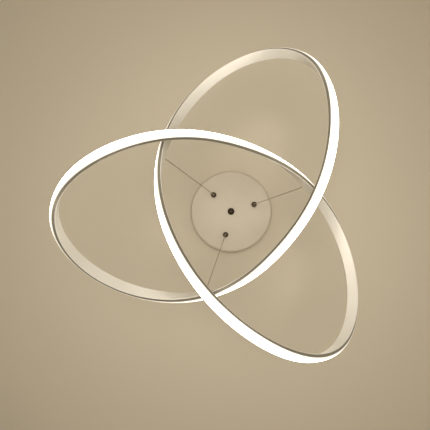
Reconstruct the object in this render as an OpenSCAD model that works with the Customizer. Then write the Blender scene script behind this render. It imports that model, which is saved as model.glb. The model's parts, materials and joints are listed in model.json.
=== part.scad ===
// Pendant light: one closed, lit band bent into a three-lobed knot, hung by three wires
// from a round ceiling canopy.
// Origin: centre of the ceiling mount, in the plane of the ceiling. +Z points into the ceiling.

/* [Knot] */
// Mean radius of the band about the knot's centre
knot_r = 212; // [180:0.5:240]
// How far the lobes swing in and out of the mean radius
lobe_depth = 98; // [80:0.5:110]
// Where along a lobe its tip lies, in degrees
lobe_tip_at = 7; // [0:1:15]
// Second swing, which makes the lobe tips blunter
lobe_blunt = 6.5; // [0:0.5:12]
// Where along a lobe the second swing peaks, in degrees
lobe_blunt_at = 20; // [0:1:30]
// How much further out than the even curve each of the three lobe tips was bent
lobe_reach = [-4.5, 0.5, 4.5]; // [-8:0.5:8]
// Turn of the whole knot about its own axis, in degrees
knot_turn = 164; // [0:0.5:360]
// Sideways lean of the lobes, in degrees
lobe_lean = 17.5; // [0:0.5:22]
// Where along a lobe the sideways lean starts, in degrees
lobe_lean_at = 23; // [10:1:35]
// Height of the band above and below the knot's mid plane
rise = 33; // [30:0.5:50]
// Where along a lobe the band crosses the mid plane, in degrees
rise_at = 27.5; // [20:0.5:45]
// Mean tilt of the lit face towards the floor, in degrees
face_tilt = 7.5; // [-20:0.5:20]
// Swing of the lit face's tilt over each lobe, in degrees
face_swing = 63; // [40:1:70]
// Where along a lobe that swing peaks, in degrees
face_swing_at = 124; // [110:1:130]
// Quicker second swing of the tilt, in degrees
face_ripple = 18; // [0:1:25]
// Where along a lobe the second swing of the tilt peaks, in degrees
face_ripple_at = 97; // [80:1:110]
// How much further the lit face tilts on each of the three inner strands, in degrees
strand_tilt = [3, -17, 12]; // [-20:1:20]

/* [Hanging] */
// Height of the ceiling over the knot's centre
drop = 354; // [330:1:600]
// Lean of the hung knot out of level, in degrees
hang_lean = 13.5; // [0:0.5:15]
// Side on which the knot hangs lowest, in degrees about +Z
hang_low_side = 148; // [0:1:360]
// How far the knot's centre hangs to the side of the canopy's, along X and Y
hang_off = [2.5, 1]; // [-10:0.5:10]
// Places of the three wire terminals along their thirds of the band, in degrees
anchor_at = [83, 81.5, 84]; // [78:0.5:84]
// Place of the joint between two channel segments, in degrees
splice_at = 88; // [88:0.5:92]
// Diameter of the suspension wire with its jacket
wire_d = 1.4; // [0.8:0.1:1.6]

/* [Band section] */
// Width of the band
band_w = 20; // [18:0.5:26]
// Depth of the aluminium channel
channel_h = 6.5; // [5:0.1:9]
// Thickness of the channel's back
channel_floor = 1.4; // [1:0.1:1.6]
// Thickness of the channel's two edges
channel_edge = 1.5; // [1.2:0.1:2]
// Chamfer on the channel's two back corners
channel_chamfer = 0.8; // [0.3:0.1:1.2]
// How far the diffuser stands out of the channel
dome_h = 6; // [4:0.1:10]
// Wall of the diffuser
dome_wall = 1.6; // [1.2:0.1:2]
// Width of the LED strip
strip_w = 10; // [8:0.5:10]
// Thickness of the LED strip
strip_h = 0.8; // [0.4:0.1:1]
// Side of one square LED chip
chip_w = 2.8; // [2:0.1:5]
// Height of one LED chip
chip_h = 0.8; // [0.5:0.1:1]

/* [Canopy] */
// Outer diameter of the canopy cover
canopy_d = 200; // [190:1:280]
// Depth of the canopy cover
canopy_h = 32; // [31:0.5:50]
// Wall of the canopy cover
canopy_wall = 1.2; // [0.8:0.1:2]
// Radius of the rounded lower edge
canopy_round = 6; // [4:0.5:10]
// Radius of the circle on which the wires leave the canopy
gripper_r = 58.7; // [56:0.1:64]
// Direction of the first gripper, in degrees
gripper_turn = -16.6; // [-25:0.1:-10]
// Diameter of the domed cap nut
cap_nut_d = 16.5; // [14:0.1:20]
// Height of the domed cap nut
cap_nut_h = 10; // [8:0.5:14]
// Height of the cap nut's straight skirt
cap_skirt_h = 4; // [2:0.5:5]
// Diameter of the centre stud
stud_d = 6; // [5:0.5:8]

/* [Ceiling bracket] */
// Length of the bracket
bracket_l = 150; // [130:1:170]
// Width of the bracket
bracket_w = 24; // [20:1:28]
// Thickness of the bracket
bracket_t = 2; // [1.5:0.1:3]
// Distance between the two screw slots
slot_pitch = 90; // [84:1:100]
// Length of each screw slot
slot_l = 14; // [10:0.5:16]
// Width of each screw slot
slot_w = 4.5; // [4:0.1:6]

/* [Wire grippers] */
// Outer diameter of a gripper
gripper_d = 12.6; // [11:0.1:16]
// Height of a gripper below the cover
gripper_h = 16; // [15:0.5:20]
// Diameter of the gripper's threaded shank
shank_d = 9.2; // [8:0.1:10]
// Width across the flats of the gripper's nut
gripper_nut_af = 13; // [12:0.5:16]
// Diameter of the release sleeve's shoulder
sleeve_d = 5.2; // [5:0.1:5.6]
// How far the release sleeve stands out of the gripper
sleeve_out = 4; // [3:0.5:6]
// How far the release sleeve can be pushed in
sleeve_travel = 2; // [1:0.5:2]

/* [Driver and wiring] */
// Length of the LED driver's case
driver_l = 64; // [56:1:66]
// Width of the LED driver's case
driver_w = 32; // [26:1:34]
// Height of the LED driver's case with its lid
driver_h = 21.5; // [18:0.5:22]
// Wall of the driver's case and thickness of its lid
driver_wall = 1.5; // [1:0.1:2]
// Diameter of the mains lead
mains_lead_d = 5; // [4:0.1:6]
// Diameter of a low-voltage feed lead
feed_lead_d = 1.8; // [1.2:0.1:2.4]

/* [Clearances] */
// Gap between parts that rest on each other along the band
seat_gap = 0.12; // [0.08:0.01:0.2]
// Radial gap between a moving sleeve and its bore
running_gap = 0.06; // [0.03:0.01:0.1]
// Radial gap round a screw, stud or shank in its hole
hole_gap = 0.1; // [0.05:0.05:0.4]
// Gap between two channel segments
butt_gap = 0.3; // [0.1:0.1:0.6]

/* [Hidden] */
$fn = 64;
overcut = 1;

// ---- the knot's curve and the band's own directions, by place along the band in degrees ----

lobes = 3;
third = 360 / lobes;
rings = 54;
ring_step = third / rings;

// One value for each lobe or strand, blended smoothly along the band; the first counts at start.
blend = 16;
function blended(values, t, start) =
    [for (j = [0 : lobes - 1]) pow(cos((t - start - third * j) / 2), blend)] * values;

function unit(v) = v / norm(v);

function band_point(t) =
    let (r = knot_r + lobe_depth * cos(lobes * t - lobe_tip_at)
             + lobe_blunt * cos(2 * lobes * t - lobe_blunt_at) + blended(lobe_reach, t, 0),
         a = knot_turn + 2 * t - lobe_lean * sin(lobes * t - lobe_lean_at))
    [r * cos(a), r * sin(a), -rise * sin(lobes * t + rise_at)];

function along(t) = unit(band_point(t + 0.2) - band_point(t - 0.2));
function level_out(t) = unit(cross(along(t), [0, 0, 1]));
function level_down(t) = cross(along(t), level_out(t));

function face_angle(t) = face_tilt + face_swing * cos(lobes * t - face_swing_at)
    + face_ripple * cos(2 * lobes * t - face_ripple_at) + blended(strand_tilt, t, third / 2);

// The lit face looks along face_out; face_up runs across the band, towards its upper edge.
function face_out(t) = cos(face_angle(t)) * level_out(t) + sin(face_angle(t)) * level_down(t);
function face_up(t) = sin(face_angle(t)) * level_out(t) - cos(face_angle(t)) * level_down(t);

// A point of the section: p[0] across the band, p[1] out from the channel's back.
function on_section(t, p) = band_point(t) + p[0] * face_up(t) + p[1] * face_out(t);

// Degrees along the band that make one millimetre there.
function degrees_per_mm(t) = 1 / norm(band_point(t + 0.5) - band_point(t - 0.5));

function splice_t(k) = splice_at + third * (k - 1);
function anchor_t(k) = anchor_at[(k - 1) % lobes] + third * (k - 1);
function end_trim(t) = butt_gap / 2 * degrees_per_mm(t);

// Places of one segment's rings. The ring nearest the wire terminal is moved onto it, and the
// two ends stand back from the joints.
function segment_stations(k) =
    let (start = splice_t(k), end = splice_t(k + 1),
         anchor_ring = round((anchor_t(k + 1) - start) / ring_step))
    [for (i = [0 : rings]) i == 0 ? start + end_trim(start) : i == rings ? end - end_trim(end)
        : i == anchor_ring ? anchor_t(k + 1) : start + i * ring_step];

// ---- the hung knot ----

lean_axis = [-sin(hang_low_side), cos(hang_low_side), 0];
knot_center = [hang_off.x, hang_off.y, -drop];

function hung(p) = knot_center + p * cos(hang_lean) + cross(lean_axis, p) * sin(hang_lean)
    + lean_axis * (lean_axis * p) * (1 - cos(hang_lean));

module hang() {
    translate(knot_center) rotate(a = hang_lean, v = lean_axis) children();
}

// ---- helpers ----

// Closed skin over rings of points. Each ring has an even number of points, counter-clockwise
// about the direction of travel, and is closed at the two ends by strips between opposite points.
// Faces that look opposite ways are cut along the same diagonal, so two skins that follow each
// other keep an even gap.
module skin(rings_in) {
    n = len(rings_in);
    m = len(rings_in[0]);
    sides = [for (i = [0 : n - 2], j = [0 : m - 1])
        let (a = i * m + j, b = i * m + (j + 1) % m, c = a + m, d = b + m)
        each j < m / 2 - 1 ? [[a, c, d], [a, d, b]] : [[a, c, b], [c, d, b]]];
    first = [for (j = [0 : m / 2 - 2]) [j, j + 1, m - 2 - j, m - 1 - j]];
    last = [for (f = first) [for (q = [3 : -1 : 0]) (n - 1) * m + f[q]]];
    polyhedron(points = [for (r = rings_in) each r], faces = concat(sides, first, last),
        convexity = 10);
}

// A stretch of the band with one section, given as an outer and an inner run of points.
module band(outer, inner, places) {
    m = len(inner);
    section = concat(outer, [for (i = [m - 1 : -1 : 0]) inner[i]]);
    skin([for (t = places) [for (p = section) on_section(t, p)]]);
}

// A round tube along a list of points; across is a direction that no stretch runs along.
module tube(points, d, across, sides = 8) {
    n = len(points);
    skin([for (i = [0 : n - 1])
        let (ahead = unit(points[min(i + 1, n - 1)] - points[max(i - 1, 0)]),
             x = unit(cross(across, ahead)),
             y = cross(ahead, x))
        [for (j = [0 : sides - 1]) points[i] + d / 2 * (cos(360 * j / sides) * x
            + sin(360 * j / sides) * y)]]);
}

// Local Z runs across the band towards its upper edge.
module across_band(t, out) {
    x = face_out(t);
    y = along(t);
    z = face_up(t);
    o = on_section(t, [0, out]);
    multmatrix([[x.x, y.x, z.x, o.x], [x.y, y.y, z.y, o.y], [x.z, y.z, z.z, o.z], [0, 0, 0, 1]])
        children();
}

// Local Z runs out of the channel's back towards the lit face.
module out_of_band(t, out) {
    x = along(t);
    y = face_up(t);
    z = face_out(t);
    o = on_section(t, [0, out]);
    multmatrix([[x.x, y.x, z.x, o.x], [x.y, y.y, z.y, o.y], [x.z, y.z, z.z, o.z], [0, 0, 0, 1]])
        children();
}

// A ring or a plain round bar between two heights.
module bar(d, low, high, bore = 0) {
    difference() {
        translate([0, 0, low]) cylinder(d = d, h = high - low);
        if (bore > 0) translate([0, 0, low - overcut]) cylinder(d = bore, h = high - low + 2 * overcut);
    }
}

module hex_nut(af, low, high, bore) {
    difference() {
        translate([0, 0, low]) cylinder(d = af / cos(30), h = high - low, $fn = 6);
        translate([0, 0, low - overcut]) cylinder(d = bore, h = high - low + 2 * overcut);
    }
}

// ---- band pieces ----

half_w = band_w / 2;
pocket = half_w - channel_edge;
terminal_gap = 0.25;
terminal_head_h = 0.8;
foot_room = 0.6;
foot_out = pocket - terminal_gap - terminal_head_h - foot_room;
foot_low = channel_floor + 0.3;
foot_top_gap = 0.5;
dome_low = channel_h + seat_gap;
dome_power = 2 / 2.2;
dome_steps = [90, 65, 30, 0, -30, -65, -90];

function dome_point(angle, half, height) = [
    sign(angle) * pow(abs(sin(angle)), dome_power) * half,
    dome_low + pow(abs(cos(angle)), dome_power) * height
];

channel_outer = [
    [-half_w, channel_h], [-half_w, channel_chamfer], [-half_w + channel_chamfer, 0],
    [-half_w / 3, 0], [half_w / 3, 0],
    [half_w - channel_chamfer, 0], [half_w, channel_chamfer], [half_w, channel_h]
];
channel_inner = [
    [-pocket, channel_h], [-pocket, channel_floor], [-foot_out, channel_floor],
    [-strip_w / 2, channel_floor], [strip_w / 2, channel_floor],
    [foot_out, channel_floor], [pocket, channel_floor], [pocket, channel_h]
];

foot_in = foot_out - dome_wall;
dome_outer = concat(
    [[foot_out, foot_low], [foot_out, dome_low], [pocket, dome_low]],
    [for (a = dome_steps) dome_point(a, half_w, dome_h)],
    [[-pocket, dome_low], [-foot_out, dome_low], [-foot_out, foot_low]]);
inner_steps = [80, 70, 55, 30, 0, -30, -55, -70, -80];
dome_inner = concat(
    [[foot_in, foot_low], [foot_in, dome_low + foot_top_gap]],
    [for (a = inner_steps) dome_point(a, half_w - dome_wall, dome_h - dome_wall)],
    [[-foot_in, dome_low + foot_top_gap], [-foot_in, foot_low]]);

strip_low = channel_floor + seat_gap / 2;
strip_top = strip_low + strip_h;
pin_gap = 0.2;
pin_in = foot_out + pin_gap;
pin_out = pocket - pin_gap;
pin_low = channel_floor + seat_gap;
pin_top = pin_low + 1.4;

function slab(low_u, high_u, low_v, high_v) = [
    [[low_u, low_v], [high_u, low_v]], [[low_u, high_v], [high_u, high_v]]
];

terminal_out = (channel_floor + channel_h) / 2;
terminal_shank_d = 1.6;
terminal_head_d = 2.3;
terminal_collar_d = 4;
terminal_collar_h = 1.6;
terminal_neck = 1.2;
ball_d = 3.6;
ball_sink = 0.3;
terminal_collar_low = half_w + terminal_gap;
terminal_head_low = pocket - terminal_gap - terminal_head_h;
ball_at = terminal_collar_low + terminal_collar_h + terminal_neck + ball_d / 2 - ball_sink;

function ball_center(k) = hung(on_section(anchor_t(k), [ball_at, terminal_out]));

module channel(k) {
    color("ivory") hang() difference() {
        band(channel_outer, channel_inner, segment_stations(k));
        across_band(anchor_t(k + 1), terminal_out)
            bar(terminal_shank_d + 2 * hole_gap, pocket - overcut, half_w + overcut);
    }
}

module diffuser(k) {
    color("white") hang() band(dome_outer, dome_inner, segment_stations(k));
}

module led_strip(k) {
    s = slab(-strip_w / 2, strip_w / 2, strip_low, strip_top);
    color("gainsboro") hang() band(s[0], s[1], segment_stations(k));
}

module led_chips() {
    color("gold") hang() for (k = [1 : lobes]) {
        places = segment_stations(k);
        for (i = [1 : rings - 1]) out_of_band(places[i], strip_top + seat_gap)
            translate([-chip_w / 2, -chip_w / 2, 0]) cube([chip_w, chip_w, chip_h]);
    }
}

module splice_pins() {
    color("silver") hang() for (k = [1 : lobes], side = [-1, 1]) {
        t = splice_t(k);
        low = side < 0 ? -pin_out : pin_in;
        s = slab(low, low + pin_out - pin_in, pin_low, pin_top);
        band(s[0], s[1], [t - ring_step, t, t + ring_step]);
    }
}

module wire_terminal(k) {
    color("ivory") hang() across_band(anchor_t(k), terminal_out) {
        bar(terminal_head_d, terminal_head_low, terminal_head_low + terminal_head_h);
        bar(terminal_shank_d, terminal_head_low + terminal_head_h / 2, ball_at);
        bar(terminal_collar_d, terminal_collar_low, terminal_collar_low + terminal_collar_h);
        translate([0, 0, ball_at]) sphere(d = ball_d);
    }
}

// ---- wire grippers: local z = 0 is the cover's lower face ----

// Three balls lie in a cone round the wire and wedge it; a spring holds them down. Pushing the
// sleeve up lifts the balls out of the cone and frees the wire.
cover_low = -canopy_h;
cover_in = cover_low + canopy_wall;
wire_bore = wire_d + 0.6;
gripper_round = 2.5;
shank_top = 10;
gripper_nut_h = 4;
lip_h = 1.5;
lip_top = -gripper_h + lip_h;
neck_d = sleeve_d - 1.1;
sleeve_bore = sleeve_d + 2 * running_gap;
neck_bore = neck_d + 2 * running_gap;
chamfer = 0.8;
cone_low = lip_top + 4.5;
cone_h = 3;
cone_top = cone_low + cone_h;
cavity_d = sleeve_bore + 1.2;
cavity_top = -2;
cone_slope = (cavity_d - sleeve_bore) / 2 / cone_h;
clamp_ball_d = 2.2;
ball_gap = 0.05;
clamp_ball_r = (wire_d + clamp_ball_d) / 2 + ball_gap;
clamp_ball_z = cone_low + (clamp_ball_r + (clamp_ball_d / 2 + ball_gap) * sqrt(1 + pow(cone_slope, 2))
    - sleeve_bore / 2) / cone_slope;
sleeve_top = clamp_ball_z - clamp_ball_d / 2 - 4 * ball_gap;
spring_wire = 0.5;
spring_low = clamp_ball_z + clamp_ball_d / 2 + 2 * ball_gap;
spring_high = cavity_top - 2 * ball_gap;
spring_turns = floor((spring_high - spring_low - sleeve_travel) / spring_wire) - 1;
ferrule_d = 3.2;
ferrule_low = 14;
ferrule_high = 19;
exit_z = cover_low - gripper_h - sleeve_out;
tail_end = 0.4;
wire_gap = 0.45;
ball_end_gap = 0.15;

function gripper_angle(k) = gripper_turn - third * (k - 1);
function gripper_xy(k) = gripper_r * [cos(gripper_angle(k)), sin(gripper_angle(k))];
function wire_top(k) = [gripper_xy(k).x, gripper_xy(k).y, exit_z - tail_end];
function wire_way(k) = unit(ball_center(k) - wire_top(k));

module at_gripper(k) {
    translate([gripper_xy(k).x, gripper_xy(k).y, cover_low]) children();
}

module gripper_body(k) {
    color([0.16, 0.13, 0.11]) at_gripper(k) difference() {
        union() {
            mirror([0, 0, 1]) rotate_extrude() {
                square([gripper_d / 2, gripper_h - gripper_round]);
                square([gripper_d / 2 - gripper_round, gripper_h]);
                intersection() {
                    translate([gripper_d / 2 - gripper_round, gripper_h - gripper_round])
                        circle(r = gripper_round);
                    square([gripper_d, gripper_h]);
                }
            }
            bar(shank_d, -overcut, shank_top);
        }
        bar(wire_bore, cavity_top - overcut, shank_top + overcut);
        bar(cavity_d, cone_top, cavity_top);
        translate([0, 0, cone_low]) cylinder(d1 = sleeve_bore, d2 = cavity_d, h = cone_h);
        bar(sleeve_bore, lip_top, cone_low);
        bar(neck_bore, -gripper_h - overcut, lip_top + overcut);
    }
}

module gripper_nut(k) {
    color("silver") at_gripper(k)
        hex_nut(gripper_nut_af, canopy_wall, canopy_wall + gripper_nut_h, shank_d + 2 * hole_gap);
}

module gripper_spring(k) {
    steps = spring_turns * 12;
    low = spring_low + spring_wire / 2;
    high = spring_high - spring_wire / 2;
    color("silver") at_gripper(k) tube([for (i = [0 : steps])
        [clamp_ball_r * cos(30 * i), clamp_ball_r * sin(30 * i), low + (high - low) * i / steps]],
        spring_wire, [0, 0, 1], 6);
}

module gripper_balls(k) {
    color("silver") for (j = [0 : 2]) at_gripper(k) rotate(j * 120)
        translate([clamp_ball_r, 0, clamp_ball_z]) sphere(d = clamp_ball_d);
}

module release_sleeve(k) {
    low = -gripper_h - sleeve_out;
    color([0.2, 0.17, 0.14]) at_gripper(k) difference() {
        union() {
            bar(sleeve_d, lip_top + running_gap, cone_low - running_gap);
            bar(neck_d, low + chamfer, sleeve_top);
            translate([0, 0, low]) cylinder(d1 = neck_d - 2 * chamfer, d2 = neck_d, h = chamfer);
        }
        bar(wire_bore, low - overcut, sleeve_top + overcut);
    }
}

module wire_tail(k) {
    color([0.55, 0.5, 0.44]) at_gripper(k) {
        bar(wire_d, -gripper_h - sleeve_out - tail_end, ferrule_high);
        bar(ferrule_d, ferrule_low, ferrule_high);
    }
}

module suspension_wire(k) {
    way = wire_way(k);
    from = wire_top(k) + way * wire_gap;
    length = norm(ball_center(k) - from) - ball_d / 2 - ball_end_gap;
    color([0.55, 0.5, 0.44]) translate(from)
        rotate([0, acos(way.z), atan2(way.y, way.x)]) cylinder(d = wire_d, h = length);
}

// ---- canopy ----

module rounded_disc(r, h, round_r) {
    rotate_extrude() {
        square([r - round_r, h]);
        translate([0, round_r]) square([r, h - round_r]);
        intersection() {
            translate([r - round_r, round_r]) circle(r = round_r);
            square([r, h]);
        }
    }
}

module canopy_cover() {
    inner_round = canopy_round - canopy_wall;
    color("ivory") {
        difference() {
            translate([0, 0, cover_low]) rounded_disc(canopy_d / 2, canopy_h, canopy_round);
            translate([0, 0, cover_in])
                rounded_disc(canopy_d / 2 - canopy_wall, canopy_h, inner_round);
            bar(stud_d + 2 * hole_gap, cover_low - overcut, cover_in + overcut);
            for (k = [1 : lobes]) at_gripper(k)
                bar(shank_d + 2 * hole_gap, -overcut, canopy_wall + overcut);
        }
        for (x = driver_stud_x) translate([x, driver_y, cover_in - canopy_wall / 2])
            cylinder(d = driver_stud_d, h = canopy_wall / 2 + driver_stud_h);
    }
}

washer_h = 0.8;
washer_margin = 1;
cap_top = cover_low - washer_h;
cap_bore_h = 6;
stud_in_cap = 5;
lock_nut_h = 5;
lock_nut_wall = 2;

module cover_washer() {
    color("dimgray")
        bar(cap_nut_d - 2 * washer_margin, cap_top, cover_low, stud_d + 2 * hole_gap);
}

module cap_nut() {
    low = cap_top - cap_nut_h;
    cap_dome_h = cap_nut_h - cap_skirt_h;
    cap_dome_r = (pow(cap_nut_d / 2, 2) + pow(cap_dome_h, 2)) / 2 / cap_dome_h;
    color([0.16, 0.13, 0.11]) difference() {
        union() {
            bar(cap_nut_d, cap_top - cap_skirt_h, cap_top);
            intersection() {
                translate([0, 0, low + cap_dome_r]) sphere(r = cap_dome_r);
                bar(cap_nut_d, low - overcut, cap_top - cap_skirt_h);
            }
        }
        bar(stud_d + 2 * hole_gap, cap_top - cap_bore_h, cap_top + overcut);
    }
}

module center_stud() {
    color("silver") bar(stud_d, cap_top - stud_in_cap, 0);
}

module stud_lock_nut() {
    color("silver") hex_nut(stud_d + 2 * lock_nut_wall, -bracket_t - lock_nut_h, -bracket_t,
        stud_d + 2 * hole_gap);
}

module ceiling_bracket() {
    end_r = bracket_w / 2;
    color("lightgray") difference() {
        translate([0, 0, -bracket_t]) linear_extrude(bracket_t) {
            square([bracket_l - 2 * end_r, bracket_w], center = true);
            for (s = [-1, 1]) translate([s * (bracket_l / 2 - end_r), 0]) circle(r = end_r);
        }
        for (s = [-1, 1]) translate([s * slot_pitch / 2, 0, -bracket_t - overcut])
            linear_extrude(bracket_t + 2 * overcut) {
                square([slot_l - slot_w, slot_w], center = true);
                for (e = [-1, 1]) translate([e * (slot_l - slot_w) / 2, 0]) circle(d = slot_w);
            }
        bar(stud_d + 2 * hole_gap, -bracket_t - overcut, overcut);
        translate([earth_x, 0, 0]) bar(earth_d + 2 * hole_gap, -bracket_t - overcut, overcut);
    }
}

// ---- driver and wiring inside the canopy ----

earth_x = -28;
earth_d = 4;
earth_head_h = 2.4;

driver_x = 36;
driver_y = 36;
driver_z = cover_in;
ear_l = 8;
ear_w = 12;
ear_h = 2;
ear_sink = 1;
driver_stud_d = 3;
driver_stud_h = 6;
driver_nut_af = 5.5;
driver_nut_h = 2.4;
board_t = 1.6;
board_gap = 1;
transformer = [16, 16];
transformer_gap = 4.4;
driver_stud_x = [driver_x - driver_l / 2 - ear_l / 2, driver_x + driver_l / 2 + ear_l / 2];
driver_left = driver_x - driver_l / 2;
driver_right = driver_x + driver_l / 2;
lead_z = driver_z + 11;
lead_hole_gap = 0.6;
mains_in_y = driver_y - driver_w / 2 + 6;
feed_1_y = driver_y - driver_w / 2 + 8;
feed_2_y = driver_y + driver_w / 2 - 6;

module side_hole(x, y, d) {
    translate([x, y, lead_z]) rotate([0, 90, 0])
        cylinder(d = d + lead_hole_gap, h = 4 * driver_wall, center = true);
}

module driver_case() {
    tub_h = driver_h - driver_wall;
    color("whitesmoke") translate([0, 0, driver_z]) difference() {
        union() {
            translate([driver_left, driver_y - driver_w / 2, 0]) cube([driver_l, driver_w, tub_h]);
            for (x = driver_stud_x)
                translate([x - ear_l / 2 - ear_sink, driver_y - ear_w / 2, 0])
                    cube([ear_l + 2 * ear_sink, ear_w, ear_h]);
        }
        translate([driver_left + driver_wall, driver_y - driver_w / 2 + driver_wall, driver_wall])
            cube([driver_l - 2 * driver_wall, driver_w - 2 * driver_wall, tub_h]);
        for (x = driver_stud_x) translate([x, driver_y, -overcut])
            cylinder(d = driver_stud_d + 4 * hole_gap, h = ear_h + 2 * overcut);
        translate([0, 0, -driver_z]) {
            side_hole(driver_left, mains_in_y, mains_lead_d);
            side_hole(driver_right, feed_1_y, feed_lead_d);
            side_hole(driver_left, feed_2_y, feed_lead_d);
        }
    }
}

module driver_lid() {
    low = driver_z + driver_h - driver_wall;
    color("whitesmoke") translate([driver_left, driver_y - driver_w / 2, low])
        cube([driver_l, driver_w, driver_wall]);
}

// Board with a transformer, two capacitors and a coil, on its own solder side.
module driver_board() {
    board = [driver_l, driver_w, 0] - 2 * (driver_wall + board_gap) * [1, 1, 0] + [0, 0, board_t];
    transformer_h = driver_h - 2 * driver_wall - board_t - transformer_gap;
    color("darkgreen") translate([driver_x, driver_y, driver_z + driver_wall]) {
        translate([-board.x / 2, -board.y / 2, 0]) cube(board);
        translate([-transformer.x / 2, 4 - board.y / 2, board_t])
            cube([transformer.x, transformer.y, transformer_h]);
        for (x = [-22, 20]) translate([x, 5, board_t]) cylinder(d = 8, h = 6);
        translate([17, -7, board_t]) cylinder(d = 7, h = 5);
    }
}

module driver_nuts() {
    color("silver") for (x = driver_stud_x) translate([x, driver_y, driver_z])
        hex_nut(driver_nut_af, ear_h, ear_h + driver_nut_h, driver_stud_d + 2 * hole_gap);
}

block_x = -51;
block_y = 28;
block_l = 30;
block_w = 16;
block_h = 13;
pole_pitch = 9;
block_hole_d = 4;
block_hole_l = 5;
block_screw_l = 4;
block_screw_sink = 1;
block_entry_z = cover_in + 5;
lead_end_gap = 0.3;

module terminal_block() {
    color("white") difference() {
        translate([block_x - block_l / 2, block_y - block_w / 2, cover_in])
            cube([block_l, block_w, block_h]);
        for (p = [-1, 0, 1]) translate([block_x + p * pole_pitch, block_y, 0]) {
            for (s = [-1, 1]) translate([0, s * block_w / 4, cover_in + block_h - block_screw_l])
                cylinder(d = block_hole_d, h = block_screw_l + overcut);
            for (s = [-1, 1]) translate([0, s * block_w / 2, block_entry_z]) rotate([90, 0, 0])
                cylinder(d = block_hole_d, h = 2 * block_hole_l, center = true);
        }
    }
}

module terminal_screws() {
    color("goldenrod") for (p = [-1, 0, 1], s = [-1, 1])
        translate([block_x + p * pole_pitch, block_y + s * block_w / 4, 0])
            bar(block_hole_d - 2 * hole_gap, cover_in + block_h - block_screw_l + hole_gap,
                cover_in + block_h - block_screw_sink);
}

block_front = block_y - block_w / 2;

module mains_lead() {
    z = block_entry_z;
    color("lightgray") tube([
        [block_x, block_front - lead_end_gap, z], [block_x, block_front - 6, z],
        [block_x + 4, block_front - 13, z], [block_x + 13, block_front - 16, z],
        [block_x + 24, block_front - 14, z], [block_x + 33, block_front - 7, z + 1],
        [driver_left - 13, mains_in_y - 4, lead_z - 2], [driver_left - 6, mains_in_y - 0.5, lead_z],
        [driver_left + 1, mains_in_y, lead_z]
    ], mains_lead_d, [0, 0, 1]);
}

module earth_lead() {
    z = block_entry_z;
    x = block_x - pole_pitch;
    color("yellowgreen") tube([
        [x, block_front - lead_end_gap, z], [x, block_front - 6, z + 1], [x + 3, block_front - 13, z + 5],
        [x + 9, block_front - 18, z + 11], [x + 16, block_front - 20, z + 16],
        [x + 23, block_front - 20, z + 19], [earth_x - earth_d - lead_end_gap, 0, -bracket_t - 1.6]
    ], feed_lead_d, [0, 0, 1]);
}

ferrule_z = cover_low + (ferrule_low + ferrule_high) / 2;

module feed_lead_1() {
    g = gripper_xy(1);
    color("firebrick") tube([
        [driver_right - 1, feed_1_y, lead_z], [driver_right + 4, feed_1_y - 1, lead_z],
        [driver_right + 9, feed_1_y - 6, lead_z + 1], [driver_right + 11, feed_1_y - 14, lead_z + 2],
        [g.x + 20, g.y + 13, ferrule_z], [g.x + 13, g.y + 4, ferrule_z],
        [g.x + 7, g.y + 0.5, ferrule_z], [g.x + ferrule_d / 2 + lead_end_gap, g.y, ferrule_z]
    ], feed_lead_d, [0, 0, 1]);
}

module feed_lead_2() {
    g = gripper_xy(3);
    color("black") tube([
        [driver_left + 1, feed_2_y, lead_z], [driver_left - 3, feed_2_y, lead_z],
        [driver_left - 8, feed_2_y + 2, lead_z + 1], [g.x + 9, g.y - 3, ferrule_z],
        [g.x + 5, g.y - 0.6, ferrule_z], [g.x + ferrule_d / 2 + lead_end_gap, g.y, ferrule_z]
    ], feed_lead_d, [0, 0, 1]);
}

module earth_screw() {
    color("goldenrod") translate([earth_x, 0, 0]) {
        bar(earth_d, -bracket_t - earth_head_h / 2, 0);
        bar(2 * earth_d - 1, -bracket_t - earth_head_h, -bracket_t);
    }
}

ceiling_bracket();
center_stud();
stud_lock_nut();
canopy_cover();
cover_washer();
cap_nut();
driver_case();
driver_lid();
driver_board();
driver_nuts();
terminal_block();
terminal_screws();
mains_lead();
earth_lead();
feed_lead_1();
feed_lead_2();
earth_screw();
gripper_body(1);  // gripper_body_1
gripper_body(2);  // gripper_body_2
gripper_body(3);  // gripper_body_3
gripper_nut(1);  // gripper_nut_1
gripper_nut(2);  // gripper_nut_2
gripper_nut(3);  // gripper_nut_3
gripper_spring(1);  // gripper_spring_1
gripper_spring(2);  // gripper_spring_2
gripper_spring(3);  // gripper_spring_3
gripper_balls(1);  // gripper_balls_1
gripper_balls(2);  // gripper_balls_2
gripper_balls(3);  // gripper_balls_3
release_sleeve(1);  // release_sleeve_1
release_sleeve(2);  // release_sleeve_2
release_sleeve(3);  // release_sleeve_3
wire_tail(1);  // wire_tail_1
wire_tail(2);  // wire_tail_2
wire_tail(3);  // wire_tail_3
suspension_wire(1);  // suspension_wire_1
suspension_wire(2);  // suspension_wire_2
suspension_wire(3);  // suspension_wire_3
wire_terminal(1);  // wire_terminal_1
wire_terminal(2);  // wire_terminal_2
wire_terminal(3);  // wire_terminal_3
channel(1);  // channel_1
channel(2);  // channel_2
channel(3);  // channel_3
diffuser(1);  // diffuser_1
diffuser(2);  // diffuser_2
diffuser(3);  // diffuser_3
led_strip(1);  // led_strip_1
led_strip(2);  // led_strip_2
led_strip(3);  // led_strip_3
led_chips();
splice_pins();
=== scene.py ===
import json
import math

import bpy
from mathutils import Matrix, Vector


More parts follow.
